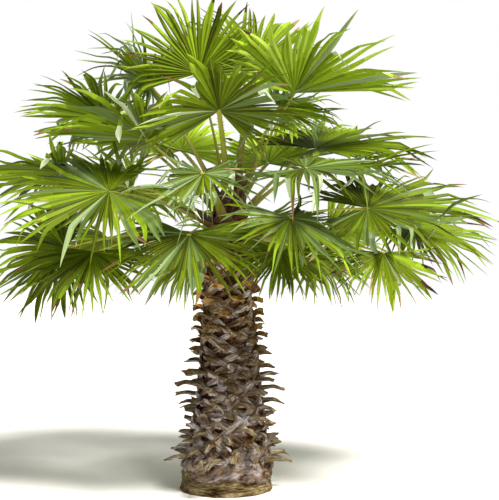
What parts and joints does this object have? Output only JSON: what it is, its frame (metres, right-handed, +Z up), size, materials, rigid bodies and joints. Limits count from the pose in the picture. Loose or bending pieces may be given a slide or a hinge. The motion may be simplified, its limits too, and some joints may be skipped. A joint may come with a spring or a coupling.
{
  "type": "caranday palm",
  "caption": "Young fan palm: a stout trunk clad in old leaf bases carries a wide crown of stalked, pleated fan leaves.",
  "frame": {"origin": "centre of the flat cut under the trunk, at ground level", "axes": "+Z up, -Y towards the viewer of the picture, +X to the viewer's right"},
  "size_m": [3.3556, 2.586, 3.0067],
  "materials": {
    "bark": "rough, weathered grey-brown",
    "stalk": "smooth, yellow-olive",
    "leaf": "satin green, greyer below"
  },
  "bodies": {
    "root": {"trunk": "bark", "stalk_01": "stalk", "stalk_02": "stalk", "stalk_03": "stalk", "stalk_04": "stalk", "stalk_05": "stalk", "stalk_06": "stalk", "stalk_07": "stalk", "stalk_08": "stalk", "stalk_09": "stalk", "stalk_10": "stalk", "stalk_11": "stalk", "stalk_12": "stalk", "stalk_13": "stalk", "stalk_14": "stalk", "stalk_15": "stalk", "stalk_16": "stalk", "stalk_17": "stalk", "stalk_18": "stalk", "stalk_19": "stalk", "stalk_20": "stalk", "stalk_21": "stalk", "stalk_22": "stalk", "stalk_23": "stalk", "stalk_24": "stalk", "stalk_25": "stalk", "stalk_26": "stalk", "stalk_27": "stalk", "stalk_28": "stalk", "stalk_29": "stalk", "fan_01": "leaf", "fan_02": "leaf", "fan_03": "leaf", "fan_04": "leaf", "fan_05": "leaf", "fan_06": "leaf", "fan_07": "leaf", "fan_08": "leaf", "fan_09": "leaf", "fan_10": "leaf", "fan_11": "leaf", "fan_12": "leaf", "fan_13": "leaf", "fan_14": "leaf", "fan_15": "leaf", "fan_16": "leaf", "fan_17": "leaf", "fan_18": "leaf", "fan_19": "leaf", "fan_20": "leaf", "fan_21": "leaf", "fan_22": "leaf", "fan_23": "leaf", "fan_24": "leaf", "fan_25": "leaf", "fan_26": "leaf", "fan_27": "leaf", "fan_28": "leaf", "fan_29": "leaf"}
  },
  "joints": []
}
